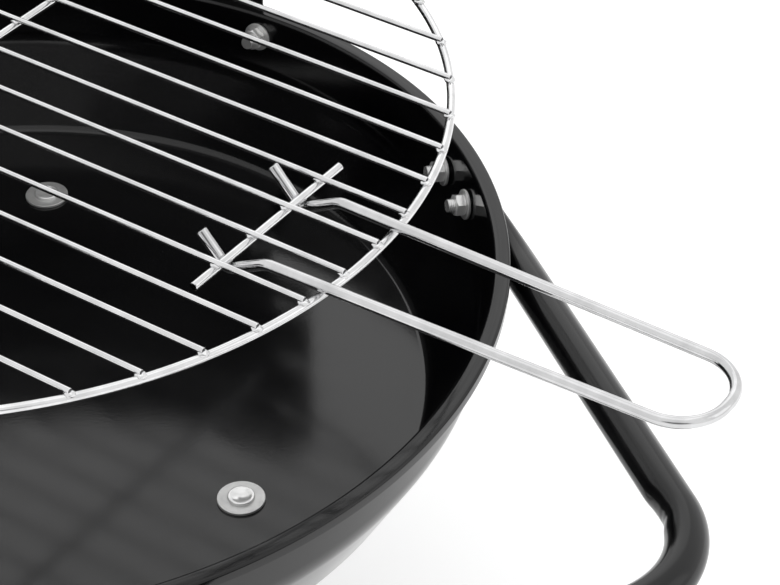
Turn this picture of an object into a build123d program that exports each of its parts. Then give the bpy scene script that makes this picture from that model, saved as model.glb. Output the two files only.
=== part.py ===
from build123d import *
from math import atan2, cos, pi, radians, sin, sqrt, tan
import os

os.makedirs("parts", exist_ok=True)

# Bowl, mm; heights count from the ground
rim_height = 240.0
bowl_radius = 195.7
bowl_depth = 64.0
band_height = 23.0
band_lean = 7.0
wall_lean = 29.25
wall_bend = 28.0
floor_corner = 6.0
bowl_sheet = 1.0
flange_width = 6.4
flange_lip = 4.0
flange_round = 1.0

# Legs and the bolts in the floor
leg_count = 3
bolt_inset = 46.2
tube_diameter = 15.0
tube_wall = 1.2
leg_stub = 30.0
leg_splay = 48.0
leg_bend = 45.0
insert_length = 16.0
cap_length = 26.0
cap_wall = 1.8
cap_floor = 2.5

# Carrying handle: one tube, its flattened ends bolted to the wall
handle_angle = 52.9
handle_drop = 14.8
handle_tilt = 2.6
handle_bend = 40.0
flat_thickness = 5.0
flat_length = 52.0
flat_blend = 34.0
handle_bolt_pitch = 25.4

# Wind screen
screen_sheet = 0.8
neck_angle = 94.2
ear_angle = 88.2
strap_angle = 90.4
ear_rise = 15.0
screen_rise = 130.0
screen_corner = 25.0
hem_height = 8.0
hem_sheet = 1.0
screen_bolt_angles = (93.4, 180.0, 266.6)
screen_bolt_drop = 10.0
strap_drop = 20.0
notch_step = 32.0
notch_steps = (-1, 0, 1)

# Grate, all of it round wire
grate_rise = 70.0
grate_inset = 17.7
frame_wire = 3.2
bar_wire = 2.2
bar_pairs = 9
bar_spread = 0.92
cross_offset = -12.5
cross_overhang = 5.6
joggle_run = 8.0
joggle_bend = 5.0
tongue_tail = 8.0
tongue_root = 36.0
rod_inset = 38.0
rod_overhang = 2.5

# Lifting grip
grip_wire = 4.0
grip_length = 134.7
loop_width = 35.0
hook_width = 41.2
hook_inner_angle = 48.0
hook_outer_angle = 28.0
hook_tip_rise = 7.4
grip_bend = 8.0

# Fasteners, M6 in the floor and M5 in the wall
floor_thread = 6.0
floor_washer = 18.0
floor_washer_thickness = 1.2
floor_head = 10.3
floor_head_height = 1.3
floor_head_round = 0.6
floor_dish = 8.2
floor_dish_depth = 0.9
wall_thread = 5.0
wall_washer = 12.0
wall_washer_thickness = 1.0
wall_nut = 8.0
wall_nut_height = 4.0
wall_head = 9.5
wall_head_height = 3.3
wall_head_taper = 10.0
wall_slot = 1.2
wall_slot_depth = 1.6
stud_reach = 9.1
spacer_diameter = 10.0

# Clearances
press_gap = 0.05
hole_gap = 0.3
seat_gap = 0.1
loose_gap = 0.3
screen_gap = 0.5
weld_sink = 0.2
slot_side_gap = 2.5
trim = 20.0

# Heights and radii that follow
floor_under = rim_height - bowl_depth
floor_top = floor_under + bowl_sheet
band_slope = tan(radians(band_lean))
wall_slope = tan(radians(wall_lean))
wall_inner = bowl_radius - bowl_sheet / cos(radians(band_lean))
rim_radius = wall_inner + flange_width
bend_x = bowl_radius - band_height * band_slope - wall_bend * cos(radians(band_lean))
bend_z = rim_height - band_height + wall_bend * sin(radians(band_lean))
corner_z = floor_under + floor_corner
corner_inner = floor_corner - bowl_sheet
slant_start = bend_x + (wall_bend - floor_corner) / cos(radians(wall_lean))
floor_radius = slant_start - (bend_z - corner_z) * wall_slope
bolt_circle = floor_radius - bolt_inset
tube_radius = tube_diameter / 2
leg_angles = [360 / leg_count * step for step in range(leg_count)]

screen_inner = rim_radius + screen_gap
screen_outer = screen_inner + screen_sheet
screen_top = rim_height + screen_rise
screen_bottom = rim_height - strap_drop
strap_top = rim_height - flange_lip / 2

frame_radius = frame_wire / 2
bar_radius = bar_wire / 2
grate_level = rim_height + grate_rise
grate_radius = bowl_radius - grate_inset
bar_pitch = grate_radius * bar_spread / (bar_pairs - 0.5)
bar_level = grate_level + frame_radius + bar_radius - weld_sink
under_level = grate_level - frame_wire + weld_sink
grip_radius = grip_wire / 2
grip_clear = frame_radius + grip_radius + loose_gap
grip_level = grate_level + grip_clear
rod_x = grate_radius - rod_inset
grip_tip = grate_radius + grip_length

# Where the handle tube lies against the wall
handle_seat = bowl_sheet + loose_gap + flat_thickness / 2
handle_wall = wall_inner - handle_drop * band_slope
handle_radius = handle_wall + handle_seat * cos(radians(band_lean))
handle_level = rim_height - handle_drop - handle_seat * sin(radians(band_lean))
handle_foot_y = handle_radius * sin(radians(handle_angle))
handle_foot_x = handle_radius * cos(radians(handle_angle))
handle_vertex = handle_foot_y * tan(radians(handle_angle))
vee_half = radians(90 - handle_angle)
vee_tip = handle_vertex - handle_bend * (1 / sin(vee_half) - 1)
handle_tip = handle_foot_x + vee_tip * cos(radians(handle_tilt)) + tube_radius

# The frame sits under the middle of the whole length
front_reach = max(grip_tip + grip_radius, handle_tip)
rear_reach = screen_outer + tongue_tail
axis_x = (rear_reach - front_reach) / 2
bowl_axis = Axis((axis_x, 0, 0), (0, 0, 1))


def polar(radius, angle, height):
    return Vector(axis_x + radius * cos(radians(angle)), radius * sin(radians(angle)), height)


def radial_plane(angle):
    # Upright plane through the bowl's axis: local x runs outward, local y runs up
    outward = Vector(cos(radians(angle)), sin(radians(angle)), 0)
    return Plane(origin=(axis_x, 0, 0), x_dir=outward, z_dir=outward.cross(Vector(0, 0, 1)))


def wall_plane(angle, drop):
    # Plane on the inner face of the wall's upper band, its normal pointing out through the sheet
    outward = Vector(cos(radians(angle)), sin(radians(angle)), 0)
    normal = outward * cos(radians(band_lean)) - Vector(0, 0, sin(radians(band_lean)))
    tangent = Vector(0, 0, 1).cross(outward)
    spot = polar(wall_inner - drop * band_slope, angle, rim_height - drop)
    return Plane(origin=spot, x_dir=tangent, z_dir=normal)


vee_plane = Plane(
    origin=(axis_x + handle_foot_x, 0, handle_level),
    x_dir=(cos(radians(handle_tilt)), 0, sin(radians(handle_tilt))),
    z_dir=(-sin(radians(handle_tilt)), 0, cos(radians(handle_tilt))),
)


def arm_plane(side, reach):
    # Section of one handle arm: local x points away from the wall, z runs along the tube
    angle = radians(handle_angle)
    point = (reach * sin(angle), side * (handle_foot_y - reach * cos(angle)), 0)
    along = vee_plane.x_dir * sin(angle) - vee_plane.y_dir * (side * cos(angle))
    normal = wall_plane(side * handle_angle, handle_drop).z_dir
    away = (normal - along * normal.dot(along)).normalized()
    return Plane(origin=vee_plane.from_local_coords(point), x_dir=away, z_dir=along)


def handle_bolt_plane(side, step):
    arm = arm_plane(side, step * handle_bolt_pitch / 2)
    return Plane(origin=arm.origin - arm.x_dir * handle_seat, x_dir=arm.z_dir, z_dir=arm.x_dir)


handle_bolt_planes = [handle_bolt_plane(side, step) for side in (1, -1) for step in (1, -1)]
screen_bolt_planes = [wall_plane(angle, screen_bolt_drop) for angle in screen_bolt_angles]
wall_hole = wall_thread / 2 + hole_gap

# Rise of the wall's curve under a washer
screen_washer_seat = (wall_washer / 2) ** 2 / 2 / handle_wall + press_gap
bolt_edge = handle_bolt_pitch / 2 + wall_washer / 2
handle_washer_seat = bolt_edge ** 2 / 2 / handle_wall + loose_gap

# Bowl: flat floor, tight corner, slanting wall, steeper band and a flat rim with a lip
with BuildPart() as bowl:
    with BuildSketch(radial_plane(0)) as bowl_section:
        with BuildLine():
            under = Line((0, floor_under), (floor_radius, floor_under))
            corner_out = CenterArc((floor_radius, corner_z), floor_corner, -90, 90 - wall_lean)
            bend_out = CenterArc((bend_x, bend_z), wall_bend, -wall_lean, wall_lean - band_lean)
            Line(corner_out @ 1, bend_out @ 0)
            bend_in = CenterArc((bend_x, bend_z), wall_bend - bowl_sheet, -band_lean, band_lean - wall_lean)
            Polyline(
                bend_out @ 1,
                (bowl_radius - bowl_sheet * band_slope, rim_height - bowl_sheet),
                (rim_radius - bowl_sheet, rim_height - bowl_sheet),
                (rim_radius - bowl_sheet, rim_height - flange_lip),
                (rim_radius, rim_height - flange_lip),
                (rim_radius, rim_height),
                (wall_inner, rim_height),
                bend_in @ 0,
            )
            corner_in = CenterArc((floor_radius, corner_z), corner_inner, -wall_lean, wall_lean - 90)
            Line(bend_in @ 1, corner_in @ 0)
            floor = Line(corner_in @ 1, (0, floor_top))
            Line(floor @ 1, under @ 0)
        make_face()
        fillet(bowl_section.vertices().group_by(Axis.Y)[-1], flange_round)
    revolve(axis=bowl_axis)
    with BuildSketch(Plane.XY.offset(floor_under)):
        with Locations((axis_x, 0)):
            with PolarLocations(bolt_circle, leg_count):
                Circle(floor_thread / 2 + hole_gap)
    extrude(amount=bowl_sheet, mode=Mode.SUBTRACT)
    for plane in handle_bolt_planes + screen_bolt_planes:
        with BuildSketch(plane.offset(-handle_washer_seat)):
            Circle(wall_hole)
        extrude(amount=handle_seat, mode=Mode.SUBTRACT)

# Floor washers and low bolt heads with a dished top, one over each leg
with BuildPart() as floor_washers:
    with BuildSketch(Plane.XY.offset(floor_top)):
        with Locations((axis_x, 0)):
            with PolarLocations(bolt_circle, leg_count):
                Circle(floor_washer / 2)
                Circle(floor_thread / 2 + hole_gap, mode=Mode.SUBTRACT)
    extrude(amount=floor_washer_thickness)

head_seat = floor_top + floor_washer_thickness
dish_radius = ((floor_dish / 2) ** 2 + floor_dish_depth ** 2) / 2 / floor_dish_depth
with BuildPart() as floor_bolts:
    with BuildSketch(Plane.XY.offset(head_seat)):
        with Locations((axis_x, 0)):
            with PolarLocations(bolt_circle, leg_count):
                Circle(floor_head / 2)
    extrude(amount=floor_head_height)
    fillet(floor_bolts.edges().group_by(Axis.Z)[-1], floor_head_round)
    with BuildSketch(Plane.XY.offset(head_seat)):
        with Locations((axis_x, 0)):
            with PolarLocations(bolt_circle, leg_count):
                Circle(floor_thread / 2)
    extrude(amount=-(head_seat - floor_under + insert_length))
    with Locations((axis_x, 0, head_seat + floor_head_height + dish_radius - floor_dish_depth)):
        with PolarLocations(bolt_circle, leg_count):
            Sphere(dish_radius, mode=Mode.SUBTRACT)

# Legs: an upright stub under the floor, then a slant out to the foot
foot_radius = bolt_circle + leg_splay
leg_slant = atan2(leg_splay, floor_under - leg_stub)
leg_cut = (cap_floor + tube_radius * sin(leg_slant)) / cos(leg_slant)
leg_end = (foot_radius - leg_cut * sin(leg_slant), leg_cut * cos(leg_slant))


def leg_tube(angle):
    with BuildPart() as leg:
        with BuildLine(radial_plane(angle)) as leg_path:
            FilletPolyline(
                (bolt_circle, floor_under),
                (bolt_circle, floor_under - leg_stub),
                leg_end,
                radius=leg_bend,
            )
        with BuildSketch(Plane(origin=leg_path.line @ 0, z_dir=leg_path.line % 0)):
            Circle(tube_radius)
            Circle(tube_radius - tube_wall, mode=Mode.SUBTRACT)
        sweep()
    return leg


leg_front = leg_tube(leg_angles[0])
leg_left = leg_tube(leg_angles[1])
leg_right = leg_tube(leg_angles[2])

# Threaded plugs pressed into the leg tops
with BuildPart() as leg_inserts:
    with BuildSketch(Plane.XY.offset(floor_under)):
        with Locations((axis_x, 0)):
            with PolarLocations(bolt_circle, leg_count):
                Circle(tube_radius - tube_wall - press_gap)
                Circle(floor_thread / 2 + press_gap, mode=Mode.SUBTRACT)
    extrude(amount=-insert_length)

# Foot caps, cut level at the ground
with BuildPart() as foot_caps:
    for angle in leg_angles:
        plane = radial_plane(angle)
        slope = plane.x_dir * sin(leg_slant) - Vector(0, 0, cos(leg_slant))
        foot = polar(foot_radius, angle, 0)
        with BuildSketch(Plane(origin=foot - slope * cap_length, z_dir=slope)):
            Circle(tube_radius + cap_wall)
        extrude(amount=cap_length + tube_diameter)
        with BuildSketch(Plane(origin=foot - slope * cap_length, z_dir=slope)):
            Circle(tube_radius + press_gap)
        extrude(amount=cap_length - leg_cut + press_gap, mode=Mode.SUBTRACT)
    split(bisect_by=Plane.XY, keep=Keep.TOP)

# Carrying handle: a round tube bent to a V with flattened, drilled ends
flat_height = pi * tube_radius - flat_thickness * (pi / 2 - 1)
blend_reach = flat_length / 2 + flat_blend
with BuildPart() as handle_tube:
    with BuildLine(vee_plane) as vee_path:
        FilletPolyline(
            arm_plane(1, blend_reach).origin,
            (handle_vertex, 0),
            arm_plane(-1, blend_reach).origin,
            radius=handle_bend,
        )
    with BuildSketch(Plane(origin=vee_path.line @ 0, z_dir=vee_path.line % 0)):
        Circle(tube_radius)
        Circle(tube_radius - tube_wall, mode=Mode.SUBTRACT)
    sweep()
    for side in (1, -1):
        with BuildSketch(arm_plane(side, blend_reach)):
            Circle(tube_radius)
        with BuildSketch(arm_plane(side, flat_length / 2)):
            SlotOverall(flat_height, flat_thickness, rotation=90)
        loft()
        with BuildSketch(arm_plane(side, blend_reach)):
            Circle(tube_radius - tube_wall)
        with BuildSketch(arm_plane(side, flat_length / 2)):
            SlotOverall(flat_height - 2 * tube_wall, flat_thickness - 2 * tube_wall, rotation=90)
        loft(mode=Mode.SUBTRACT)
        with BuildSketch(arm_plane(side, -flat_length / 2)):
            SlotOverall(flat_height, flat_thickness, rotation=90)
            SlotOverall(
                flat_height - 2 * tube_wall,
                flat_thickness - 2 * tube_wall,
                rotation=90,
                mode=Mode.SUBTRACT,
            )
        extrude(amount=flat_length)
    for plane in handle_bolt_planes:
        with BuildSketch(plane):
            Circle(wall_hole)
        extrude(amount=2 * handle_seat, mode=Mode.SUBTRACT)


def wall_bolts(planes, grip):
    # Slotted pan heads outside, plain ends standing into the bowl
    with BuildPart() as bolts:
        for plane in planes:
            with BuildSketch(plane.offset(-stud_reach)):
                Circle(wall_thread / 2)
            extrude(amount=stud_reach + grip)
            with BuildSketch(plane.offset(grip)):
                Circle(wall_head / 2)
            extrude(amount=wall_head_height, taper=wall_head_taper)
            with BuildSketch(plane.offset(grip + wall_head_height)):
                Rectangle(wall_head, wall_slot)
            extrude(amount=-wall_slot_depth, mode=Mode.SUBTRACT)
    return bolts


def wall_washers(planes, seat):
    with BuildPart() as washers:
        for plane in planes:
            with BuildSketch(plane.offset(-seat)):
                Circle(wall_washer / 2)
                Circle(wall_hole, mode=Mode.SUBTRACT)
            extrude(amount=-wall_washer_thickness)
    return washers


def wall_nuts(planes, seat):
    with BuildPart() as nuts:
        for plane in planes:
            with BuildSketch(plane.offset(-seat - wall_washer_thickness)):
                RegularPolygon(wall_nut / 2, 6, major_radius=False)
                Circle(wall_thread / 2 + press_gap, mode=Mode.SUBTRACT)
            extrude(amount=-wall_nut_height)
    return nuts


handle_grip = handle_seat + flat_thickness / 2
handle_bolts = wall_bolts(handle_bolt_planes, handle_grip)
handle_washers = wall_washers(handle_bolt_planes, handle_washer_seat)
handle_nuts = wall_nuts(handle_bolt_planes, handle_washer_seat)

# Wind screen: half a turn of sheet around the back, cut in above the rim and standing on a strap
screen_edge = axis_x + screen_inner * cos(radians(ear_angle))
ear_bottom = rim_height + ear_rise
notch_radius = frame_radius + loose_gap
cross_x = axis_x + cross_offset
screen_wall = wall_inner - screen_bolt_drop * band_slope
screen_reach = (screen_outer - screen_wall) / cos(radians(band_lean))
screen_grip = screen_reach + wall_head / 2 * band_slope + seat_gap
with BuildPart() as windscreen:
    with BuildSketch(radial_plane(ear_angle)):
        with Locations((screen_inner, ear_bottom)):
            Rectangle(screen_sheet, screen_top - ear_bottom, align=(Align.MIN, Align.MIN))
        with Locations((screen_outer, screen_top)):
            Rectangle(hem_sheet, hem_height, align=(Align.MIN, Align.MAX))
    revolve(axis=bowl_axis, revolution_arc=360 - 2 * ear_angle)
    with BuildSketch(radial_plane(neck_angle)):
        with Locations((screen_inner, screen_bottom)):
            Rectangle(screen_sheet, ear_bottom - screen_bottom, align=(Align.MIN, Align.MIN))
    revolve(axis=bowl_axis, revolution_arc=360 - 2 * neck_angle)
    with BuildSketch(radial_plane(strap_angle)):
        with Locations((screen_inner, screen_bottom)):
            Rectangle(screen_sheet, strap_top - screen_bottom, align=(Align.MIN, Align.MIN))
    revolve(axis=bowl_axis, revolution_arc=360 - 2 * strap_angle)
    with BuildSketch(Plane.XZ):
        with Locations((screen_edge - screen_corner, screen_top - screen_corner)):
            Rectangle(screen_corner + trim, screen_corner + trim, align=(Align.MIN, Align.MIN))
            Circle(screen_corner, mode=Mode.SUBTRACT)
    extrude(amount=screen_outer + trim, both=True, mode=Mode.SUBTRACT)
    with BuildSketch(Plane.XZ):
        with Locations(*[(cross_x, under_level + notch_step * step) for step in notch_steps]):
            Circle(notch_radius)
            Rectangle(screen_edge - cross_x + trim, 2 * notch_radius, align=(Align.MIN, Align.CENTER))
    extrude(amount=screen_outer + trim, both=True, mode=Mode.SUBTRACT)
    with BuildSketch(Plane.YZ.offset(axis_x)):
        with Locations(*[(0, under_level + notch_step * step) for step in notch_steps]):
            SlotOverall(3 * bar_pitch + frame_wire + 2 * slot_side_gap, 2 * notch_radius)
    extrude(amount=-screen_outer - trim, mode=Mode.SUBTRACT)
    for plane in screen_bolt_planes:
        with BuildSketch(plane):
            Circle(wall_hole)
        extrude(amount=screen_grip + trim, mode=Mode.SUBTRACT)

# Spacers between wall and screen, shaped to both
with BuildPart() as screen_spacers:
    for plane in screen_bolt_planes:
        with BuildSketch(plane):
            Circle(spacer_diameter / 2)
            Circle(wall_hole, mode=Mode.SUBTRACT)
        extrude(amount=screen_grip)
    with BuildSketch(radial_plane(0)):
        with Locations((screen_inner - seat_gap, screen_bottom)):
            Rectangle(trim, strap_drop, align=(Align.MIN, Align.MIN))
    revolve(axis=bowl_axis, mode=Mode.SUBTRACT)
    with BuildSketch(radial_plane(0)):
        Polygon(
            (0, rim_height),
            (0, screen_bottom),
            (bowl_radius + seat_gap - strap_drop * band_slope, screen_bottom),
            (bowl_radius + seat_gap, rim_height),
            align=None,
        )
    revolve(axis=bowl_axis, mode=Mode.SUBTRACT)

screen_bolts = wall_bolts(screen_bolt_planes, screen_grip)
screen_washers = wall_washers(screen_bolt_planes, screen_washer_seat)
screen_nuts = wall_nuts(screen_bolt_planes, screen_washer_seat)

# Grate frame: ring, bars on top, a cross wire and a tongue that carry it in the screen
with BuildPart() as grate_ring:
    with BuildSketch(radial_plane(0)):
        with Locations((grate_radius, grate_level)):
            Circle(frame_radius)
    revolve(axis=bowl_axis)

with BuildPart() as grate_bars:
    for step in range(-bar_pairs, bar_pairs):
        bar_y = bar_pitch * (step + 0.5)
        bar_half = sqrt(grate_radius ** 2 - bar_y ** 2)
        with BuildSketch(Plane(origin=(axis_x - bar_half, bar_y, bar_level), z_dir=(1, 0, 0))):
            Circle(bar_radius)
        extrude(amount=2 * bar_half)

cross_ring_y = sqrt(grate_radius ** 2 - cross_offset ** 2)
cross_end = screen_outer + cross_overhang
joggle_end = cross_ring_y - frame_wire
joggle_start = joggle_end - joggle_run
with BuildPart() as grate_crossbar:
    with BuildLine():
        FilletPolyline(
            (cross_x, -cross_end, under_level),
            (cross_x, -joggle_end, under_level),
            (cross_x, -joggle_start, grate_level),
            (cross_x, joggle_start, grate_level),
            (cross_x, joggle_end, under_level),
            (cross_x, cross_end, under_level),
            radius=joggle_bend,
        )
    with BuildSketch(Plane(origin=(cross_x, -cross_end, under_level), z_dir=(0, 1, 0))):
        Circle(frame_radius)
    sweep()

tongue_y = 1.5 * bar_pitch
tongue_end = axis_x - rear_reach + frame_radius
tongue_ring_x = axis_x - sqrt(grate_radius ** 2 - tongue_y ** 2)
dip_end = tongue_ring_x + frame_wire
dip_start = dip_end + joggle_run
tongue_start = tongue_ring_x + tongue_root
with BuildPart() as grate_tongue:
    with BuildLine():
        FilletPolyline(
            (tongue_start, -tongue_y, grate_level),
            (dip_start, -tongue_y, grate_level),
            (dip_end, -tongue_y, under_level),
            (tongue_end, -tongue_y, under_level),
            (tongue_end, tongue_y, under_level),
            (dip_end, tongue_y, under_level),
            (dip_start, tongue_y, grate_level),
            (tongue_start, tongue_y, grate_level),
            radius=joggle_bend,
        )
    with BuildSketch(Plane(origin=(tongue_start, -tongue_y, grate_level), z_dir=(-1, 0, 0))):
        Circle(frame_radius)
    sweep()

rod_half = 2 * bar_pitch + rod_overhang
with BuildPart() as grate_hook_rod:
    with BuildSketch(Plane(origin=(axis_x + rod_x, -rod_half, grate_level), z_dir=(0, 1, 0))):
        Circle(frame_radius)
    extrude(amount=2 * rod_half)

# Lifting grip: a long wire U whose two hooks pass under the rod
hook_half = radians((hook_outer_angle + hook_inner_angle) / 2)
hook_turn = radians((hook_outer_angle - hook_inner_angle) / 2)
hook_depth = grip_clear / cos(hook_half)
hook_x = axis_x + rod_x + hook_depth * sin(hook_turn)
hook_z = grate_level - hook_depth * cos(hook_turn)
hook_tip_z = grate_level + hook_tip_rise
hook_tip_x = hook_x - (hook_tip_z - hook_z) / tan(radians(hook_inner_angle))
shoulder_x = hook_x + (grip_level - hook_z) / tan(radians(hook_outer_angle))
loop_half = loop_width / 2
hook_y = hook_width / 2
loop_bend = loop_half - 2 * loose_gap
loop_x = axis_x + grip_tip
with BuildPart() as grate_handle:
    with BuildLine() as grip_path:
        FilletPolyline(
            (hook_tip_x, -hook_y, hook_tip_z),
            (hook_x, -hook_y, hook_z),
            (shoulder_x, -hook_y, grip_level),
            (loop_x, -loop_half, grip_level),
            (loop_x, loop_half, grip_level),
            (shoulder_x, hook_y, grip_level),
            (hook_x, hook_y, hook_z),
            (hook_tip_x, hook_y, hook_tip_z),
            radius=(grip_clear, grip_bend, loop_bend, loop_bend, grip_bend, grip_clear),
        )
    with BuildSketch(Plane(origin=grip_path.line @ 0, z_dir=grip_path.line % 0)):
        Circle(grip_radius)
    sweep()

nodes = {
    "bowl": bowl,
    "floor_bolts": floor_bolts,
    "floor_washers": floor_washers,
    "leg_front": leg_front,
    "leg_left": leg_left,
    "leg_right": leg_right,
    "leg_inserts": leg_inserts,
    "foot_caps": foot_caps,
    "handle_tube": handle_tube,
    "handle_bolts": handle_bolts,
    "handle_washers": handle_washers,
    "handle_nuts": handle_nuts,
    "windscreen": windscreen,
    "screen_bolts": screen_bolts,
    "screen_spacers": screen_spacers,
    "screen_washers": screen_washers,
    "screen_nuts": screen_nuts,
    "grate_ring": grate_ring,
    "grate_bars": grate_bars,
    "grate_crossbar": grate_crossbar,
    "grate_tongue": grate_tongue,
    "grate_hook_rod": grate_hook_rod,
    "grate_handle": grate_handle,
}
for node_name, node in nodes.items():
    node.part.label = node_name
    export_step(node.part, f"parts/{node_name}.step")
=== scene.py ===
import bmesh
import bpy
import numpy as np
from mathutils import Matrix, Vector


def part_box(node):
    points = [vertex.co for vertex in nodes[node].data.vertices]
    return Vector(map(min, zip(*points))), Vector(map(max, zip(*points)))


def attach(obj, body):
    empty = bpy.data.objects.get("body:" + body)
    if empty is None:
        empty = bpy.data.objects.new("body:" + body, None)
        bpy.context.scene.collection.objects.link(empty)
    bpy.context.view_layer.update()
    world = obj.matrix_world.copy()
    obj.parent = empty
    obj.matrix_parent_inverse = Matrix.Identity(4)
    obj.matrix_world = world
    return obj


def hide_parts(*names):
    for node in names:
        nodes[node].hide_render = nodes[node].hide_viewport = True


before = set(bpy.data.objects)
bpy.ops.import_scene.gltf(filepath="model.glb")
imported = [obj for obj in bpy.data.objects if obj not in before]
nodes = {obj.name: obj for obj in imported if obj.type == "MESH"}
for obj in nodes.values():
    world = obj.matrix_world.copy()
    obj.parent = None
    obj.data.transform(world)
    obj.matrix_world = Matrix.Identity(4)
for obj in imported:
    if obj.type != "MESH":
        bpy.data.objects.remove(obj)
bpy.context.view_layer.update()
print("frame loaded,", len(nodes), "nodes")

mm = 0.001
mergeGap = 1e-7  # points closer than this are one point
tiny = 1e-12  # keeps a zero length from being divided by
upward = np.array([0, 0, 1.0])
forward = np.array([1.0, 0, 0])

# places read from the frame
bowlLow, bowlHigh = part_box("bowl")
ringLow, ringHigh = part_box("grate_ring")
barLow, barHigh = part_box("grate_bars")
axisX = (bowlLow.x + bowlHigh.x) / 2
rimRadius = (bowlHigh.x - bowlLow.x) / 2
wire = ringHigh.z - ringLow.z
barWire = barHigh.z - barLow.z
ringRadius = (ringHigh.x - ringLow.x - wire) / 2
grateLevel = (ringHigh.z + ringLow.z) / 2
barLevel = (barHigh.z + barLow.z) / 2


# grid to mesh: quads between neighbours on a grid of rows and columns, closed round the columns
# and, where asked, round the rows too
def gridQuads(rows, cols, wrapRows):
    index = np.arange(rows * cols).reshape(rows, cols)
    index = np.concatenate([index, index[:, :1]], axis=1)
    if wrapRows:
        index = np.concatenate([index, index[:1]], axis=0)
    corners = [index[:-1, :-1], index[:-1, 1:], index[1:, 1:], index[1:, :-1]]
    return np.stack(corners, axis=-1).reshape(-1, 4)


# true for the faces of a wire's first and last row
def cutRows(grid):
    rows, cols = grid.shape[0] - 1, grid.shape[1]
    return np.isin(np.arange(rows), (0, rows - 1)).repeat(cols)


# piece: grids of points joined to one smooth mesh at the origin, its faces turned outwards
def addPiece(name, grids, body, material, replaced=(), wrapRows=False, sharpAngle=None, cutFinish=None):
    points = np.concatenate([g.reshape(-1, 3) for g in grids])
    starts = np.cumsum([0] + [g.shape[0] * g.shape[1] for g in grids[:-1]])
    quads = np.concatenate([gridQuads(*g.shape[:2], wrapRows) + s for g, s in zip(grids, starts)])
    mesh = bpy.data.meshes.new(name)
    mesh.from_pydata(points.tolist(), [], quads.tolist())
    mesh.materials.append(material)
    if cutFinish:  # first and last row of each wire are its cut ends
        mesh.materials.append(cutFinish)
        ends = np.concatenate([cutRows(g) for g in grids])
        mesh.polygons.foreach_set("material_index", ends.astype(np.int32))
    work = bmesh.new()
    work.from_mesh(mesh)
    bmesh.ops.remove_doubles(work, verts=work.verts, dist=mergeGap)  # closes poles and seams
    bmesh.ops.recalc_face_normals(work, faces=work.faces)
    work.to_mesh(mesh)
    work.free()
    mesh.polygons.foreach_set("use_smooth", np.ones(len(mesh.polygons), bool))
    if sharpAngle:
        mesh.set_sharp_from_angle(angle=np.radians(sharpAngle))
    piece = bpy.data.objects.new(name, mesh)
    bpy.context.scene.collection.objects.link(piece)
    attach(piece, body)
    if replaced:
        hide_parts(*replaced)


# a vector over its own length
def unit(vector):
    return vector / np.linalg.norm(vector)


# even angles round a full turn, moved on by a part of a step
def roundSteps(steps, shift=0):
    return (np.arange(steps) + shift) * 2 * np.pi / steps


# straight runs joined by tangent arcs: an arc turns its start arm into its end arm about the bend's centre,
# each arm weighted by the sine of the angle left to the other
def bentPath(corners, bends, rows=16):
    corners = np.array(corners, float)
    runs = [corners[:1]]
    for before, corner, after, bend in zip(corners[:-2], corners[1:-1], corners[2:], bends):
        back = unit(before - corner)
        ahead = unit(after - corner)
        half = np.arccos(back @ ahead) / 2
        centre = corner + unit(back + ahead) * bend / np.sin(half)
        startArm = corner + back * bend / np.tan(half) - centre
        endArm = corner + ahead * bend / np.tan(half) - centre
        turn = np.pi - 2 * half
        t = np.linspace(0, 1, rows)[:, None] * turn
        runs.append(centre + (np.sin(turn - t) * startArm + np.sin(t) * endArm) / np.sin(turn))
    runs.append(corners[-1:])
    return np.concatenate(runs)


# tangent, side and up along a path: side is square to the tangent and to the reference direction
def pathFrame(path, reference, closed=False):
    ahead = np.roll(path, -1, axis=0) - path
    ahead /= np.linalg.norm(ahead, axis=1)[:, None] + tiny
    if not closed:
        ahead[-1] = ahead[-2]
    behind = np.roll(ahead, 1, axis=0)
    if not closed:
        behind[0] = ahead[0]
    tangent = ahead + behind
    tangent /= np.linalg.norm(tangent, axis=1)[:, None]
    side = np.cross(np.broadcast_to(reference, path.shape), tangent)
    side /= np.linalg.norm(side, axis=1)[:, None]
    return tangent, side, np.cross(tangent, side)


# circle of unit arms at each place of a path: cosine of the turn along side, sine along up
def pathRings(turn, side, up):
    return np.cos(turn)[None, :, None] * side[:, None] + np.sin(turn)[None, :, None] * up[:, None]


wireEnd = dict(chamfer=0.15, face=0.85)  # parts of the wire's radius


# round wire: a circle carried along the path, closed at both ends by a small chamfer and a flat cut
def wireGrid(path, radius, reference, sides=24, closed=False):
    path = np.array(path, float)
    tangent, side, up = pathFrame(path, reference, closed)
    scale = np.ones(len(path))
    if not closed:
        chamfer, face = radius * wireEnd["chamfer"], wireEnd["face"]
        first, last = path[0], path[-1]
        path = np.concatenate([
            [first, first, first + tangent[0] * chamfer], path[1:-1],
            [last - tangent[-1] * chamfer, last, last],
        ])
        side = np.concatenate([side[:1], side[:1], side, side[-1:], side[-1:]])
        up = np.concatenate([up[:1], up[:1], up, up[-1:], up[-1:]])
        scale = np.concatenate([[0, face, 1], scale[1:-1], [1, face, 0]])
    rings = pathRings(roundSteps(sides, shift=0.5), side, up)
    return path[:, None] + rings * (radius * scale)[:, None, None]


# turned form: a profile of radius and height carried once round the grill's upright axis
def turnedGrid(profile, steps):
    angle = roundSteps(steps)
    radius, height = np.array(profile, float).T
    x = axisX + radius[:, None] * np.cos(angle)
    y = radius[:, None] * np.sin(angle)
    return np.stack([x, y, np.broadcast_to(height[:, None], x.shape)], axis=-1)


# turned form about any axis: radius and place along the axis for each row and, where they differ, each step
def aboutAxis(radius, along, origin, axis, steps):
    upright = abs(axis[2]) > 0.9  # then the reference is forward
    side = unit(np.cross(axis, forward if upright else upward))
    turn = roundSteps(steps)
    ray = np.cos(turn)[:, None] * side + np.sin(turn)[:, None] * np.cross(axis, side)
    radius = np.broadcast_to(radius, (len(along), steps))
    along = np.broadcast_to(along, (len(along), steps))
    return origin + radius[..., None] * ray + along[..., None] * np.array(axis)


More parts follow.
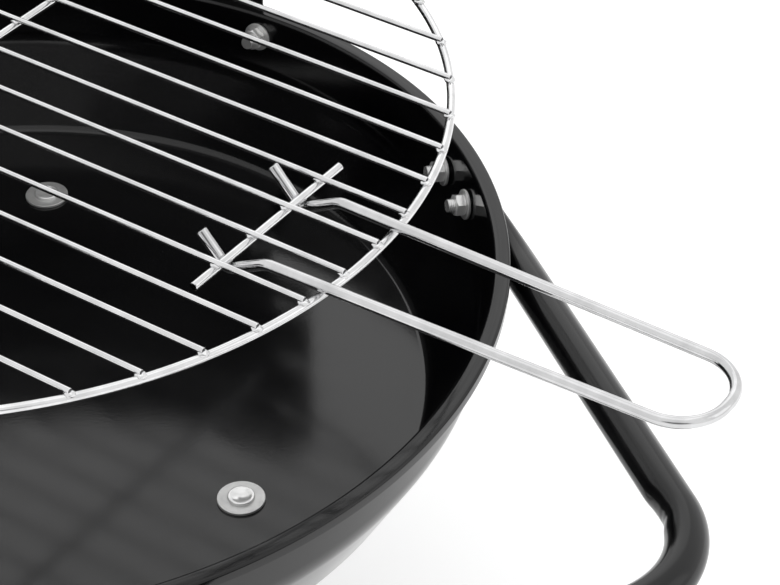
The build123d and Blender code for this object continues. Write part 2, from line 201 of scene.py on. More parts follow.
# hollow tube: the outer wall out and the inner wall back, joined at both ends
def tubeGrid(path, outer, inner, reference, sides=40):
    side, up = pathFrame(np.array(path), reference)[1:]
    rings = pathRings(roundSteps(sides), side, up)
    return np.concatenate([path[:, None] + rings * outer, (path[:, None] + rings * inner)[::-1]])


# arc: a centre plus the radius times cosine and sine of even angles
def arcPoints(centre, radius, fromDeg, toDeg, count):
    angle = np.radians(np.linspace(fromDeg, toDeg, count))
    return np.stack([centre[0] + radius * np.cos(angle), centre[1] + radius * np.sin(angle)], axis=-1)


# materials
noiseSpan = (0.3, 0.7)  # most of a noise's values lie between these
bumpDepth = 0.2 * mm


def newMaterial(name):
    material = bpy.data.materials.new(name)
    material.use_nodes = True
    tree = material.node_tree
    shader = tree.nodes["Principled BSDF"]
    place = tree.nodes.new("ShaderNodeTexCoord")
    return material, tree, shader, place.outputs["Object"]


def noiseNode(tree, place, scale, detail=4.0):
    noise = tree.nodes.new("ShaderNodeTexNoise")
    noise.inputs["Scale"].default_value = scale
    noise.inputs["Detail"].default_value = detail
    tree.links.new(place, noise.inputs["Vector"])
    return noise.outputs["Fac"]


def rampNode(tree, value, spread, dark, light):
    ramp = tree.nodes.new("ShaderNodeValToRGB")
    for element, position, colour in zip(ramp.color_ramp.elements, spread, (dark, light)):
        element.position = position
        element.color = (*colour, 1)
    tree.links.new(value, ramp.inputs["Fac"])
    return ramp.outputs["Color"]


def rangeNode(tree, value, span, ends, blend="LINEAR"):
    remap = tree.nodes.new("ShaderNodeMapRange")
    remap.interpolation_type = blend
    for socket, number in zip(("From Min", "From Max", "To Min", "To Max"), (*span, *ends)):
        remap.inputs[socket].default_value = number
    tree.links.new(value, remap.inputs["Value"])
    return remap.outputs["Result"]


def mathNode(tree, operation, first, second):
    node = tree.nodes.new("ShaderNodeMath")
    node.operation = operation
    for socket, value in zip(node.inputs, (first, second)):
        if isinstance(value, float):
            socket.default_value = value
        else:
            tree.links.new(value, socket)
    return node.outputs["Value"]


def bumpNode(tree, shader, height, strength):
    bump = tree.nodes.new("ShaderNodeBump")
    bump.inputs["Strength"].default_value = strength
    bump.inputs["Distance"].default_value = bumpDepth
    tree.links.new(height, bump.inputs["Height"])
    tree.links.new(bump.outputs["Normal"], shader.inputs["Normal"])


streak = dict(fine=900.0, detail=3.0, slow=0.003, depth=0.9 * mm, dull=0.18)


# fine marks round the flat rim: noise over the distance from the axis and, much slower, the angle round it
def rimStreaks(tree, place, streak):
    split = tree.nodes.new("ShaderNodeSeparateXYZ")
    tree.links.new(place, split.inputs["Vector"])
    x, y = mathNode(tree, "SUBTRACT", split.outputs["X"], float(axisX)), split.outputs["Y"]
    square = mathNode(tree, "ADD", mathNode(tree, "MULTIPLY", x, x), mathNode(tree, "MULTIPLY", y, y))
    angle = mathNode(tree, "ARCTAN2", y, x)
    polar = tree.nodes.new("ShaderNodeCombineXYZ")
    tree.links.new(mathNode(tree, "SQRT", square, 0.0), polar.inputs["X"])
    tree.links.new(mathNode(tree, "MULTIPLY", angle, streak["slow"]), polar.inputs["Y"])
    noise = noiseNode(tree, polar.outputs["Vector"], streak["fine"], streak["detail"])
    marks = rangeNode(tree, noise, noiseSpan, (0, streak["dull"]))
    onRim = mathNode(tree, "GREATER_THAN", split.outputs["Z"], float(bowlHigh.z) - streak["depth"])
    return mathNode(tree, "MULTIPLY", marks, onRim)


# finish: clouds of dark and light, mottled roughness, a fine grain as bump and,
# on the bowl's rim, streaks of less gloss
def finishMaterial(name, finish):
    material, tree, shader, place = newMaterial(name)
    cloud = noiseNode(tree, place, finish["cloud"])
    colour = rampNode(tree, cloud, finish["spread"], finish["dark"], finish["light"])
    tree.links.new(colour, shader.inputs["Base Color"])
    mottle = noiseNode(tree, place, finish["mottle"])
    tree.links.new(rangeNode(tree, mottle, noiseSpan, finish["rough"]), shader.inputs["Roughness"])
    grain = noiseNode(tree, place, finish["grain"], finish["detail"])
    bumpNode(tree, shader, grain, finish["bump"])
    shader.inputs["Metallic"].default_value = finish["metallic"]
    gloss = shader.inputs["Specular IOR Level"]
    gloss.default_value = finish["gloss"]
    if "streak" in finish:
        dull = rimStreaks(tree, place, finish["streak"])
        tree.links.new(mathNode(tree, "SUBTRACT", finish["gloss"], dull), gloss)
    return material


enamel = dict(dark=(0.001, 0.001, 0.0013), light=(0.0035, 0.0035, 0.0039), spread=(0.35, 0.7),
              rough=(0.1, 0.135), metallic=0.0, gloss=0.5,
              cloud=14, mottle=60, grain=900, detail=2.0, bump=0.05)
lacquer = {**enamel, "rough": (0.12, 0.2), "gloss": 0.43, "cloud": 25, "grain": 350}
plastic = {**enamel, "dark": (0.012, 0.012, 0.012), "light": (0.024, 0.024, 0.025),
           "rough": (0.42, 0.6), "cloud": 40, "grain": 1500}
chrome = dict(dark=(0.64, 0.64, 0.645), light=(0.77, 0.77, 0.775), spread=(0.3, 0.65),
              rough=(0.08, 0.15), metallic=1.0, gloss=0.5,
              cloud=120, mottle=360, grain=700, detail=3.0, bump=0.08)
dullChrome = {**chrome, "dark": (0.55, 0.55, 0.555), "light": (0.67, 0.67, 0.675)}
bareCut = {**chrome, "dark": (0.04, 0.04, 0.042), "light": (0.16, 0.16, 0.165), "cloud": 900, "mottle": 2700}
zinc = {**chrome, "dark": (0.56, 0.56, 0.56), "light": (0.72, 0.72, 0.71), "rough": (0.36, 0.5),
        "metallic": 0.7, "cloud": 160, "mottle": 480, "grain": 600}
# floor bolts, nuts and stud ends: the washers' zinc made lighter, a painted highlight for the light their
# heads catch
paintedHighlightZinc = {**chrome, "dark": (0.76, 0.76, 0.76), "light": (0.94, 0.94, 0.93), "rough": (0.1, 0.2),
            "metallic": 0.6, "grain": 320, "bump": 0.6}

enamelBlack = finishMaterial("bowlEnamel", {**enamel, "streak": streak})
lacquerBlack = finishMaterial("tubeLacquer", lacquer)
screenBlack = finishMaterial("screenEnamel", {**enamel, "rough": (0.1, 0.18), "cloud": 9})
chromeWire = finishMaterial("chromeWire", chrome)
gripChrome = finishMaterial("gripChrome", dullChrome)
cutSteel = finishMaterial("cutSteel", bareCut)
zincPlate = finishMaterial("zincPlate", zinc)
zincBright = finishMaterial("zincBright", {**zinc, "rough": (0.1, 0.2), "grain": 350})
# same zinc as the washers, painted lighter as a highlight on bolt heads, nuts and stud ends
paintedHighlightFinish = finishMaterial("paintedHighlightZinc", paintedHighlightZinc)
capPlastic = finishMaterial("capPlastic", plastic)
print("materials ready")

# CAD meshes that stay
nodeFinish = {
    "windscreen": screenBlack, "foot_caps": capPlastic, "leg_inserts": zincPlate,
    "handle_bolts": zincBright, "screen_bolts": zincBright, "screen_spacers": zincPlate,
}
for nodeName, material in nodeFinish.items():
    nodes[nodeName].data.materials.clear()
    nodes[nodeName].data.materials.append(material)

# bowl: the sheet's section turned round the axis, with a flat floor, tight corner, slanting wall,
# steeper band and a flat rim with a lip
bowl = dict(sheet=1.0 * mm, flange=6.4 * mm, lip=4 * mm, edge=1.0 * mm, crease=1.8 * mm, band=23 * mm,
            bandLean=7.0, lean=29.25, bend=28 * mm, corner=6 * mm, turns=288, sharp=50,
            floorRows=12, bendRows=16, edgeRows=10, creaseRows=14)
floorUnder = bowlLow.z
floorTop = floorUnder + bowl["sheet"]
rimLevel = bowlHigh.z
wallLean, bandLean = np.radians(bowl["lean"]), np.radians(bowl["bandLean"])
wallInner = rimRadius - bowl["flange"]
wallOuter = wallInner + bowl["sheet"] / np.cos(bandLean)
# the slanting wall touches two arcs: the bend under the band and the corner at the floor
bendSpot = (wallOuter - bowl["band"] * np.tan(bandLean) - bowl["bend"] * np.cos(bandLean),
            rimLevel - bowl["band"] + bowl["bend"] * np.sin(bandLean))
floorRadius = (bendSpot[0] + (bowl["bend"] - bowl["corner"]) / np.cos(wallLean)
               - (bendSpot[1] - floorUnder - bowl["corner"]) * np.tan(wallLean))


# section of the sheet: out along the underside, round the lip and the rim, and back along the inner face,
# with straight runs between the arcs
def bowlProfile(bowl):
    sheet, corner, bend = bowl["sheet"], bowl["corner"], bowl["bend"]
    edge, crease, rows = bowl["edge"], bowl["crease"], bowl["bendRows"]
    wallDeg, bandDeg = bowl["lean"], bowl["bandLean"]
    cornerSpot = (floorRadius, floorUnder + corner)
    edgeSpot = (rimRadius - edge, rimLevel - edge)
    creaseSpot = (wallInner + crease * (1 - np.sin(bandLean)) / np.cos(bandLean), rimLevel - crease)
    floorSteps = np.linspace(0, floorRadius, bowl["floorRows"])[:-1]
    lip = [(wallOuter - sheet * np.tan(bandLean), rimLevel - sheet), (rimRadius - sheet, rimLevel - sheet),
           (rimRadius - sheet, rimLevel - bowl["lip"]), (rimRadius, rimLevel - bowl["lip"])]
    return np.concatenate([
        np.stack([floorSteps, np.full_like(floorSteps, floorUnder)], axis=-1),
        arcPoints(cornerSpot, corner, -90, -wallDeg, rows),
        arcPoints(bendSpot, bend, -wallDeg, -bandDeg, rows),
        lip,
        arcPoints(edgeSpot, edge, 0, 90, bowl["edgeRows"]),
        arcPoints(creaseSpot, crease, 90, 180 - bandDeg, bowl["creaseRows"]),
        arcPoints(bendSpot, bend - sheet, -bandDeg, -wallDeg, rows),
        arcPoints(cornerSpot, corner - sheet, -wallDeg, -90, rows),
        np.stack([floorSteps[::-1], np.full_like(floorSteps, floorTop)], axis=-1),
    ])


addPiece("bowlShell", [turnedGrid(bowlProfile(bowl), bowl["turns"])], "grill", enamelBlack,
         ["bowl"], sharpAngle=bowl["sharp"])
print("bowl done")

# grate: ring, bars, cross wire, tongue and hook rod
grate = dict(bars=18, spread=0.92, crossOffset=-12.5 * mm, joggleRun=8 * mm, joggleBend=5 * mm,
             weldSink=0.2 * mm, tongueHalf=1.5, ringRows=240, barSides=16, sharp=35)
barPitch = 2 * ringRadius * grate["spread"] / (grate["bars"] - 1)
underLevel = grateLevel - wire + grate["weldSink"]


def addWires(name, grids, body, material, node):
    addPiece(name, grids, body, material, [node], sharpAngle=grate["sharp"],
             cutFinish=cutSteel)


ringAngle = roundSteps(grate["ringRows"])
ringPath = np.stack([axisX + ringRadius * np.cos(ringAngle), ringRadius * np.sin(ringAngle),
                     np.full_like(ringAngle, grateLevel)], axis=-1)
addPiece("grateRing", [wireGrid(ringPath, wire / 2, upward, closed=True)], "grate", chromeWire,
         ["grate_ring"], wrapRows=True)

barSpots = (np.arange(grate["bars"]) - (grate["bars"] - 1) / 2) * barPitch
barHalves = np.sqrt(ringRadius ** 2 - barSpots ** 2)
barPaths = [[(axisX - half, y, barLevel), (axisX + half, y, barLevel)]
            for y, half in zip(barSpots, barHalves)]
barGrids = [wireGrid(path, barWire / 2, upward, grate["barSides"]) for path in barPaths]
addWires("grateBars", barGrids, "grate", chromeWire, "grate_bars")

crossX = axisX + grate["crossOffset"]
crossLow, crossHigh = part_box("grate_crossbar")
dipEnd = np.sqrt(ringRadius ** 2 - grate["crossOffset"] ** 2) - wire
dipStart = dipEnd - grate["joggleRun"]
crossCorners = [
    (crossX, crossLow.y, underLevel), (crossX, -dipEnd, underLevel), (crossX, -dipStart, grateLevel),
    (crossX, dipStart, grateLevel), (crossX, dipEnd, underLevel), (crossX, crossHigh.y, underLevel),
]
crossPath = bentPath(crossCorners, [grate["joggleBend"]] * (len(crossCorners) - 2))
addWires("grateCrossbar", [wireGrid(crossPath, wire / 2, forward)], "grate", chromeWire, "grate_crossbar")

tongueLow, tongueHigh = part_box("grate_tongue")
tongueY = grate["tongueHalf"] * barPitch
tongueDip = axisX - np.sqrt(ringRadius ** 2 - tongueY ** 2) + wire  # just inside the ring
tongueHalf = [
    (tongueHigh.x, -tongueY, grateLevel), (tongueDip + grate["joggleRun"], -tongueY, grateLevel),
    (tongueDip, -tongueY, underLevel), (tongueLow.x + wire / 2, -tongueY, underLevel),
]
tongueCorners = tongueHalf + [(x, -y, z) for x, y, z in tongueHalf[::-1]]
tonguePath = bentPath(tongueCorners, [grate["joggleBend"]] * (len(tongueCorners) - 2))
addWires("grateTongue", [wireGrid(tonguePath, wire / 2, upward)], "grate", chromeWire, "grate_tongue")

rodLow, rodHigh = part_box("grate_hook_rod")
rodX = (rodLow.x + rodHigh.x) / 2
rodPath = [(rodX, rodLow.y, grateLevel), (rodX, rodHigh.y, grateLevel)]
addWires("grateHookRod", [wireGrid(rodPath, wire / 2, forward)], "grate", chromeWire, "grate_hook_rod")

# weld spots: lumpy ellipsoids where two wires cross, a sphere's grid stretched by the spot's half sizes;
# the lumps are a product of sines round and up the ball, shifted from spot to spot
weld = dict(size=(2.2 * mm, 1.8 * mm, 1.0 * mm), inset=0.4 * mm, rodReach=2, rows=13, cols=24,
            lump=0.14, roundWaves=5, riseWaves=4, shift=(900, 700))


def weldGrid(spot, weld):
    rise = np.linspace(-np.pi / 2, np.pi / 2, weld["rows"])[:, None]
    turn = roundSteps(weld["cols"])
    level = np.broadcast_to(np.sin(rise), (weld["rows"], weld["cols"]))
    ball = np.stack([np.cos(rise) * np.cos(turn), np.cos(rise) * np.sin(turn), level], axis=-1)
    shift = weld["shift"][0] * spot[0] + weld["shift"][1] * spot[1]
    waves = np.sin(weld["roundWaves"] * turn + shift) * np.sin(weld["riseWaves"] * rise + 2 * shift)
    lumps = 1 + weld["lump"] * np.cos(rise) * waves
    return np.array(spot) + lumps[..., None] * ball * np.array(weld["size"])


seamLevel = grateLevel + wire / 2 - grate["weldSink"] / 2
weldReach = barHalves - weld["inset"]
rodBars = barSpots[np.abs(barSpots) < weld["rodReach"] * barPitch]
weldSpots = [(axisX + side * reach, y, seamLevel)
             for side in (-1, 1) for y, reach in zip(barSpots, weldReach)]
weldSpots += [(crossX, y, seamLevel) for y in barSpots]
weldSpots += [(rodX, y, seamLevel) for y in rodBars]
addPiece("grateWelds", [weldGrid(spot, weld) for spot in weldSpots], "grate", chromeWire)
print("grate done,", len(weldSpots), "weld spots")

# lifting grip: hooks under the rod, legs over the ring, round loop at the end, bent a little unevenly
grip = dict(wire=4 * mm, gap=0.3 * mm, inner=48.0, outer=28.0, shoulderBend=8 * mm, loopSlack=0.6 * mm,
            hookY=(-22 * mm, 19.3 * mm), tipRise=(6.6 * mm, 8 * mm), loopY=(-17 * mm, 18 * mm), rows=24)
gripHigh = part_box("grate_handle")[1]


# the hook's corner lies on the line through the rod that halves the angle between its two slopes,
# far enough down to clear the rod
def gripPath(grip):
    clear = (wire + grip["wire"]) / 2 + grip["gap"]
    inner, outer = np.radians(grip["inner"]), np.radians(grip["outer"])
    depth, turn = clear / np.cos((outer + inner) / 2), (outer - inner) / 2
    hookX = rodX + depth * np.sin(turn)
    hookZ = grateLevel - depth * np.cos(turn)
    legZ = grateLevel + clear
    shoulderX = hookX + (legZ - hookZ) / np.tan(outer)
    loopX = gripHigh.x - grip["wire"] / 2
    sides = []
    for hookY, rise, loopY in zip(grip["hookY"], grip["tipRise"], grip["loopY"]):
        tipZ = grateLevel + rise
        tipX = hookX - (tipZ - hookZ) / np.tan(inner)
        hook = [(tipX, hookY, tipZ), (hookX, hookY, hookZ)]
        sides.append(hook + [(shoulderX, hookY, legZ), (loopX, loopY, legZ)])
    loopBend = (grip["loopY"][1] - grip["loopY"][0]) / 2 - grip["loopSlack"]
    bends = [clear, grip["shoulderBend"], loopBend]
    return bentPath(sides[0] + sides[1][::-1], bends + bends[::-1], grip["rows"])


addWires("liftGrip", [wireGrid(gripPath(grip), grip["wire"] / 2, upward)], "grip", gripChrome, "grate_handle")
print("grip done")


# spot on the wall's inner face and the way out through the sheet there
def wallSpot(angle, drop):
    outward = np.array([np.cos(np.radians(angle)), np.sin(np.radians(angle)), 0])
    spot = outward * (wallInner - drop * np.tan(bandLean)) + np.array([axisX, 0, rimLevel - drop])
    return spot, outward * np.cos(bandLean) - upward * np.sin(bandLean)


# carrying handle: a bent tube of constant girth, its section a slot at the bolted ends that opens
# to a circle; half of the slot's straight side is what the quarter arc leaves of a quarter girth
handle = dict(angle=52.9, drop=14.8 * mm, tilt=2.6, bend=40 * mm, tube=15 * mm, wall=1.2 * mm, flat=5 * mm,
              gap=0.3 * mm, flatLength=52 * mm, blend=34 * mm, boltPitch=25.4 * mm,
              dent=1.1 * mm, dentShift=0.5 * mm, dentLength=9 * mm, ripple=0.05, rippleLength=4.5 * mm,
              sides=64, flatRows=9, blendRows=30, armRows=90, bendRows=48, sharp=50)
handleAngle, tilt = np.radians(handle["angle"]), np.radians(handle["tilt"])
handleSeat = bowl["sheet"] + handle["gap"] + handle["flat"] / 2
wallFoot, handleOut = wallSpot(handle["angle"], handle["drop"])
handleFoot = wallFoot + handleOut * handleSeat
veeX, veeY = np.array([np.cos(tilt), 0, np.sin(tilt)]), np.array([0, 1.0, 0])
veeZ = np.cross(veeX, veeY)
armAlong = veeX * np.sin(handleAngle) - veeY * np.cos(handleAngle)
armAway = unit(handleOut - armAlong * (handleOut @ armAlong))


# path of the half handle in the plane of the vee: a straight arm, then an arc to the middle;
# gives forward and sideways places, the lean of the outer side and the length run
def halfHandle(handle):
    bend, flatEnd = handle["bend"], handle["flatLength"] / 2
    blendEnd = flatEnd + handle["blend"]
    vee = np.pi / 2 - handleAngle
    vertex = handleFoot[1] * np.tan(handleAngle)
    armEnd = handleFoot[1] / np.cos(handleAngle) - bend / np.tan(vee)
    reach = np.concatenate([np.linspace(-flatEnd, flatEnd, handle["flatRows"])[:-1],
                            np.linspace(flatEnd, blendEnd, handle["blendRows"])[:-1],
                            np.linspace(blendEnd, armEnd, handle["armRows"])])
    theta = np.linspace(handleAngle, 0, handle["bendRows"])[1:]
    u = np.concatenate([reach * np.sin(handleAngle), vertex - bend / np.sin(vee) + bend * np.cos(theta)])
    v = np.concatenate([handleFoot[1] - reach * np.cos(handleAngle), bend * np.sin(theta)])
    lean = np.concatenate([np.full(len(reach), handleAngle), theta])
    run = np.concatenate([reach, armEnd + bend * (handleAngle - theta)])
    return u, v, lean, run, armEnd


# the half path is mirrored, the slot section carried along it, and the bend's inner side dented at both
# ends of the bend: a flat-topped bell along the tube, slightly rippled, times the square of how far
# a point faces the bend's centre
def handleGrid(handle):
    tube, flat = handle["tube"], handle["flat"]
    u, v, lean, run, armEnd = halfHandle(handle)
    mirrored = ((u, 1), (v, -1), (lean, -1), (run, 1))
    u, v, lean, run = [np.concatenate([half, sign * half[-2::-1]])[:, None] for half, sign in mirrored]
    path = np.array([handleFoot[0], 0, handleFoot[2]]) + u * veeX + v * veeY
    outer = np.cos(lean) * veeX + np.sin(lean) * veeY  # away from the bend's centre
    roll = np.arctan2(armAway @ veeZ, armAway @ (np.cos(handleAngle) * veeX + np.sin(handleAngle) * veeY))
    across = outer * np.cos(roll) + veeZ * np.sin(roll)
    up = veeZ * np.cos(roll) - outer * np.sin(roll)
    step = np.clip((run - handle["flatLength"] / 2) / handle["blend"], 0, 1)
    thick = flat + (tube - flat) * step * step * (3 - 2 * step)
    turn = roundSteps(handle["sides"], shift=0.5)
    straight = np.pi / 4 * (tube - thick)
    quarter = np.abs(np.arcsin(np.sin(turn))) * tube / 2
    arc = np.clip(quarter - straight, 0, None) / (thick / 2)
    off = run - armEnd - handle["dentShift"]
    wave = 1 - handle["ripple"] * np.cos(2 * np.pi * off / handle["rippleLength"])
    bell = handle["dent"] * np.exp(-(off / handle["dentLength"]) ** 4) * wave
    skins = []
    for inset in (0, handle["wall"]):
        x = np.sign(np.cos(turn)) * (thick / 2 - inset) * np.cos(arc)
        y = np.sign(np.sin(turn)) * (np.minimum(quarter, straight) + (thick / 2 - inset) * np.sin(arc))
        inside = np.clip((np.sin(roll) * y - np.cos(roll) * x) / (tube / 2), 0, 1) ** 2
        skins.append(path[:, None] + x[..., None] * across[:, None] + y[..., None] * up[:, None]
                     + (bell * inside)[..., None] * outer[:, None])
    return np.concatenate([skins[0], skins[1][::-1]])


addPiece("handleTube", [handleGrid(handle)], "grill", lacquerBlack, ["handle_tube"],
         wrapRows=True, sharpAngle=handle["sharp"])
print("handle done")

# legs: an upright stub, a bend and a slant out to the foot
leg = dict(inset=46.2 * mm, tube=15 * mm, wall=1.2 * mm, stub=30 * mm, bend=45 * mm, splay=48 * mm,
           capFloor=2.5 * mm, rows=24, sharp=50)
boltCircle = floorRadius - leg["inset"]
legTurns = np.radians([0, 120, 240])


# middle line of a leg in its upright plane; the slant stops where the cut end's lowest edge
# stands on the cap's floor
def legPath(leg, angle):
    slant = np.arctan2(leg["splay"], floorUnder - leg["stub"])
    cut = leg["capFloor"] / np.cos(slant) + leg["tube"] / 2 * np.tan(slant)
    spots = [(boltCircle, floorUnder), (boltCircle, floorUnder - leg["stub"]),
             (boltCircle + leg["splay"] - cut * np.sin(slant), cut * np.cos(slant))]
    corners = [(axisX + r * np.cos(angle), r * np.sin(angle), z) for r, z in spots]
    return bentPath(corners, [leg["bend"]], leg["rows"])


legNames = (("legFront", "leg_front"), ("legLeft", "leg_left"), ("legRight", "leg_right"))
for (legName, nodeName), angle in zip(legNames, legTurns):
    across = np.array([-np.sin(angle), np.cos(angle), 0])
    legGrid = tubeGrid(legPath(leg, angle), leg["tube"] / 2, leg["tube"] / 2 - leg["wall"], across)
    addPiece(legName, [legGrid], "grill", lacquerBlack, [nodeName], wrapRows=True,
             sharpAngle=leg["sharp"])
print("legs done")

# fasteners: turned washers and bolt heads with small edge rounds, chamfered hexagon nuts, ribbed stud ends
floorBolt = dict(washer=18 * mm, thick=1.2 * mm, hole=6.6 * mm, head=10.3 * mm, high=1.3 * mm, round=0.6 * mm,
                 under=0.1 * mm, dish=8.2 * mm, dishDepth=0.9 * mm, thread=6 * mm, insert=16 * mm,
                 dishRows=12, roundRows=8, steps=64, sharp=40)
wallBolt = dict(washer=12 * mm, thick=1.0 * mm, hole=5.6 * mm, nut=8 * mm, nutHigh=4 * mm, nutHole=5.1 * mm,
                chamfer=0.97, thread=5 * mm, pitch=0.8 * mm, swell=0.02 * mm, ridge=0.1 * mm, leadIn=0.4 * mm,
                reach=9.1 * mm, threadRows=60, steps=48, sharp=25)
screenBolt = dict(angles=(93.4, 180, 266.6), drop=10 * mm, gap=0.05 * mm)
washer = dict(edge=0.15 * mm, steps=64, sharp=30)


# washer: a flat section with chamfered outer edges, turned about the bolt
def washerGrid(origin, axis, spec):
    outer, inner, thick, edge = spec["washer"] / 2, spec["hole"] / 2, spec["thick"], washer["edge"]
    radius = np.array([inner, outer - edge, outer, outer, outer - edge, inner])[:, None]
    along = np.array([0, 0, edge, thick - edge, thick, thick])[:, None]
    return aboutAxis(radius, along, origin, axis, washer["steps"])


# hexagon radius is the half width over the cosine of the angle to the nearest flat's middle,
# cut back by cones at both ends
def nutGrid(origin, axis, spec):
    turn = roundSteps(spec["steps"])
    hexagon = spec["nut"] / 2 / np.cos((turn + np.pi / 6) % (np.pi / 3) - np.pi / 6)
    cone = np.full_like(turn, spec["nut"] / 2 * spec["chamfer"])
    fall = (hexagon - cone) * np.tan(np.pi / 6)
    hole = np.full_like(turn, spec["nutHole"] / 2)
    bottom, top = np.zeros_like(turn), np.full_like(turn, spec["nutHigh"])
    radius = np.stack([hole, cone, hexagon, hexagon, cone, hole])
    along = np.stack([bottom, bottom, fall, top - fall, top, top])
    return aboutAxis(radius, along, origin, axis, spec["steps"])


# thread: the radius waves once per pitch along the axis and once per turn round it
def threadGrid(origin, axis, spec, length):
    along = np.linspace(0, length, spec["threadRows"])[:, None]
    wave = np.cos(2 * np.pi * along / spec["pitch"] - roundSteps(spec["steps"]))
    fade = np.clip((length - along) / spec["leadIn"], 0, 1)  # lead-in at the free end
    radius = spec["thread"] / 2 + spec["swell"] + spec["ridge"] * wave * fade
    return aboutAxis(radius, along, origin, axis, spec["steps"])


# dished head: a shallow arc of a ball, a rounded edge, a plain side and the shank below
def floorBoltGrid(origin, spec):
    head, shank = spec["head"] / 2, spec["thread"] / 2
    high, edge, under = spec["high"], spec["round"], spec["under"]
    dishHalf, depth = spec["dish"] / 2, spec["dishDepth"]
    dishRadius = (dishHalf ** 2 + depth ** 2) / 2 / depth
    dishDeg = np.degrees(np.arcsin(dishHalf / dishRadius))
    shankEnd = -spec["thick"] - bowl["sheet"] - spec["insert"]
    profile = np.concatenate([
        arcPoints((0, high + dishRadius - depth), dishRadius, -90, dishDeg - 90, spec["dishRows"]),
        arcPoints((head - edge, high - edge), edge, 90, 0, spec["roundRows"]),
        [(head, under), (head - under, 0), (shank, 0), (shank, shankEnd), (0, shankEnd)],
    ])
    return aboutAxis(profile[:, :1], profile[:, 1:], origin, upward, spec["steps"])


floorSpots = [np.array([axisX + boltCircle * np.cos(a), boltCircle * np.sin(a), floorTop]) for a in legTurns]
floorWashers = [washerGrid(spot, upward, floorBolt) for spot in floorSpots]
floorBolts = [floorBoltGrid(spot + upward * floorBolt["thick"], floorBolt) for spot in floorSpots]
addPiece("floorWashers", floorWashers, "grill", zincPlate, ["floor_washers"], wrapRows=True,
         sharpAngle=washer["sharp"])
addPiece("floorBolts", floorBolts, "grill", paintedHighlightFinish, ["floor_bolts"],
         sharpAngle=floorBolt["sharp"])

# wall bolts: a flat washer, or the handle's row of two, touches the hollow wall at its edges, and its middle
# stands off by the half width squared over twice the wall's radius
mirrorY = np.array([1, -1, 1])
boltSteps = armAlong * handle["boltPitch"] / 2
handleSpots = [handleFoot + side * boltSteps - armAway * handleSeat for side in (-1, 1)]
handleBolts = [(spot * mirror, armAway * mirror) for mirror in (1, mirrorY) for spot in handleSpots]
screenBolts = [wallSpot(angle, screenBolt["drop"]) for angle in screenBolt["angles"]]
halfWasher = wallBolt["washer"] / 2
handleWall = wallInner - handle["drop"] * np.tan(bandLean)
screenGap = halfWasher ** 2 / 2 / handleWall + screenBolt["gap"]
handleGap = (handle["boltPitch"] / 2 + halfWasher) ** 2 / 2 / handleWall + handle["gap"]
nutSeat, nutTop = wallBolt["thick"], wallBolt["thick"] + wallBolt["nutHigh"]
for setName, boltSet, gap in (("handle", handleBolts, handleGap), ("screen", screenBolts, screenGap)):
    faces = [(spot - way * gap, -way) for spot, way in boltSet]
    bare = wallBolt["reach"] - gap - nutTop
    washers = [washerGrid(spot, way, wallBolt) for spot, way in faces]
    nuts = [nutGrid(spot + way * nutSeat, way, wallBolt) for spot, way in faces]
    threads = [threadGrid(spot + way * nutTop, way, wallBolt, bare) for spot, way in faces]
    addPiece(setName + "Washers", washers, "grill", zincPlate, [setName + "_washers"], wrapRows=True,
             sharpAngle=washer["sharp"])
    # nuts and stud ends take the lighter zinc with the painted highlight
    addPiece(setName + "Nuts", nuts, "grill", paintedHighlightFinish, [setName + "_nuts"], wrapRows=True,
             sharpAngle=wallBolt["sharp"])
    addPiece(setName + "Threads", threads, "grill", paintedHighlightFinish)
print("fasteners done")

# stage: pale floor, white room, soft boxes, camera
stage = dict(floorSize=8.0, floorCloud=3, dark=(0.92, 0.92, 0.92), light=(0.96, 0.96, 0.96), rough=0.9,
             glow=0.25, aim=(0, 0, 0.2), camera=(0.50925, -0.5447, 0.8162), azimuth=34.36, elevation=37.88,
             lens=118.06, sensor=36, clip=(0.01, 50))
white = (1, 1, 1, 1)


def addFloor(stage):
    half = stage["floorSize"] / 2
    mesh = bpy.data.meshes.new("floor")
    corners = [(-half, -half, 0), (half, -half, 0), (half, half, 0), (-half, half, 0)]
    mesh.from_pydata(corners, [], [(0, 1, 2, 3)])
    floor = bpy.data.objects.new("floor", mesh)
    bpy.context.scene.collection.objects.link(floor)
    material, tree, shader, place = newMaterial("paleFloor")
    cloud = noiseNode(tree, place, stage["floorCloud"])
    pale = rampNode(tree, cloud, noiseSpan, stage["dark"], stage["light"])
    tree.links.new(pale, shader.inputs["Base Color"])
    shader.inputs["Roughness"].default_value = stage["rough"]
    shader.inputs["Emission Color"].default_value = white
    shader.inputs["Emission Strength"].default_value = stage["glow"]
    mesh.materials.append(material)


# white room with a dim patch low at its front: brightness grows with a direction's distance from the
# patch's middle, heights counted more than widths
room = dict(middle=(0.47, -0.81, 0.34), stretch=(1.0, 1.0, 1.8), reach=(0.3, 0.5), bright=(0.25, 1.0))


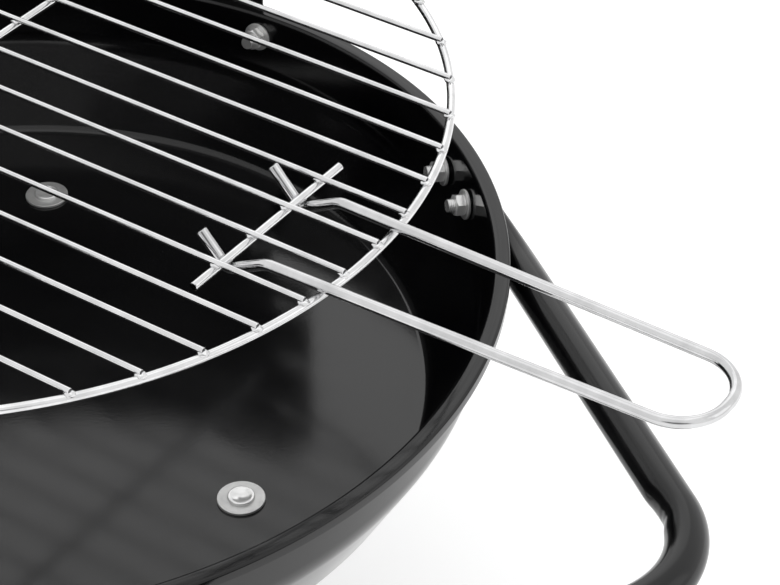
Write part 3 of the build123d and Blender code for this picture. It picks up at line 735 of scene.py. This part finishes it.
def addWorld(room):
    world = bpy.data.worlds.new("studio")
    world.use_nodes = True
    tree = world.node_tree
    away = tree.nodes.new("ShaderNodeTexCoord").outputs["Generated"]
    for operation, amount in (("SUBTRACT", room["middle"]), ("MULTIPLY", room["stretch"])):
        step = tree.nodes.new("ShaderNodeVectorMath")
        step.operation = operation
        step.inputs[1].default_value = amount
        tree.links.new(away, step.inputs[0])
        away = step.outputs["Vector"]
    length = tree.nodes.new("ShaderNodeVectorMath")
    length.operation = "LENGTH"
    tree.links.new(away, length.inputs[0])
    bright = rangeNode(tree, length.outputs["Value"], room["reach"], room["bright"], "SMOOTHSTEP")
    background = tree.nodes["Background"]
    background.inputs["Color"].default_value = white
    tree.links.new(bright, background.inputs["Strength"])
    bpy.context.scene.world = world


softBoxes = [
    dict(name="topBox", place=(-0.1, 0.3, 2.4), size=(1.6, 1.6), power=2.6),
    dict(name="rightBox", place=(2.0, 0.9, 1.4), size=(1.4, 1.4), power=2.4),
    dict(name="backPanel", place=(-1.2, 1.8, 1.7), size=(1.6, 1.2), power=2.5),
]


def addLight(box, aim):
    light = bpy.data.lights.new(box["name"], "AREA")
    light.shape = "RECTANGLE"
    light.size, light.size_y = box["size"]
    light.energy = box["power"]
    lamp = bpy.data.objects.new(box["name"], light)
    lamp.location = box["place"]
    lamp.rotation_euler = (Vector(aim) - Vector(box["place"])).to_track_quat("-Z", "Y").to_euler()
    bpy.context.scene.collection.objects.link(lamp)


def addCamera(stage):
    camera = bpy.data.cameras.new("camera")
    camera.sensor_width = stage["sensor"]
    camera.lens = stage["lens"]
    camera.clip_start, camera.clip_end = stage["clip"]
    view = bpy.data.objects.new("camera", camera)
    azimuth, elevation = np.radians(stage["azimuth"]), np.radians(stage["elevation"])
    level = np.cos(elevation)
    back = Vector((np.sin(azimuth) * level, -np.cos(azimuth) * level, np.sin(elevation)))
    view.location = stage["camera"]
    view.rotation_mode = "QUATERNION"
    view.rotation_quaternion = (-back).to_track_quat("-Z", "Y")
    bpy.context.scene.collection.objects.link(view)
    bpy.context.scene.camera = view


addFloor(stage)
addWorld(room)
for box in softBoxes:
    addLight(box, stage["aim"])
bpy.context.scene.view_settings.view_transform = "Standard"
addCamera(stage)
print("stage done")
